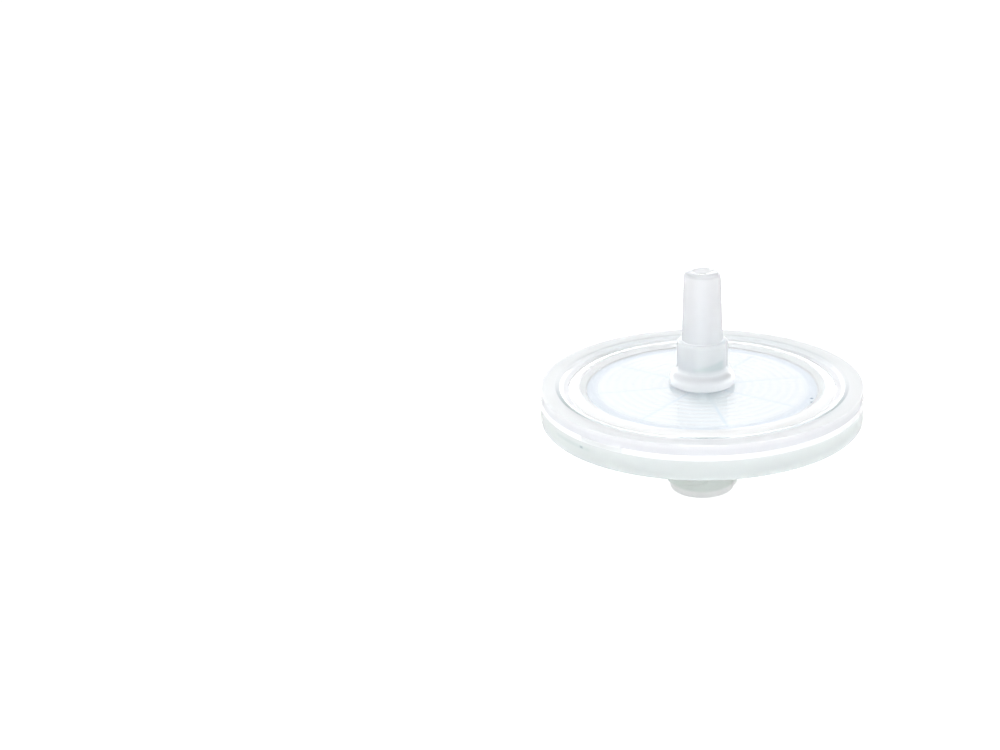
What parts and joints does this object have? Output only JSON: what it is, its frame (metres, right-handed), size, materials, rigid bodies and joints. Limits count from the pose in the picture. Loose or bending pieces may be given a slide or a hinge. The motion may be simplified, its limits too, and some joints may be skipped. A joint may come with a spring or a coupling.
{
  "type": "syringe filter",
  "caption": "Round disposable syringe filter with a male luer outlet nozzle above and a female luer-lock inlet hub below, for clearing a liquid pushed through it.",
  "frame": {"origin": "on the filter's axis in the plane of the inlet hub's mouth, on which it stands", "axes": "+Z along the axis from the inlet's mouth to the outlet's luer tip; +X to the right and +Y away as the filter is first looked at"},
  "size_m": [0.0352, 0.0352, 0.0247],
  "materials": {
    "outlet_plastic": "milky translucent polypropylene, satin gloss",
    "inlet_plastic": "milky translucent polypropylene, satin gloss",
    "glass_fibre": "matt white felted glass fibre",
    "ring_plastic": "milky translucent polypropylene, satin gloss, moulding flash"
  },
  "bodies": {
    "root": {"outlet_shell": "outlet_plastic", "inlet_shell": "inlet_plastic", "filter_membrane": "glass_fibre", "overmould_ring": "ring_plastic"}
  },
  "joints": []
}
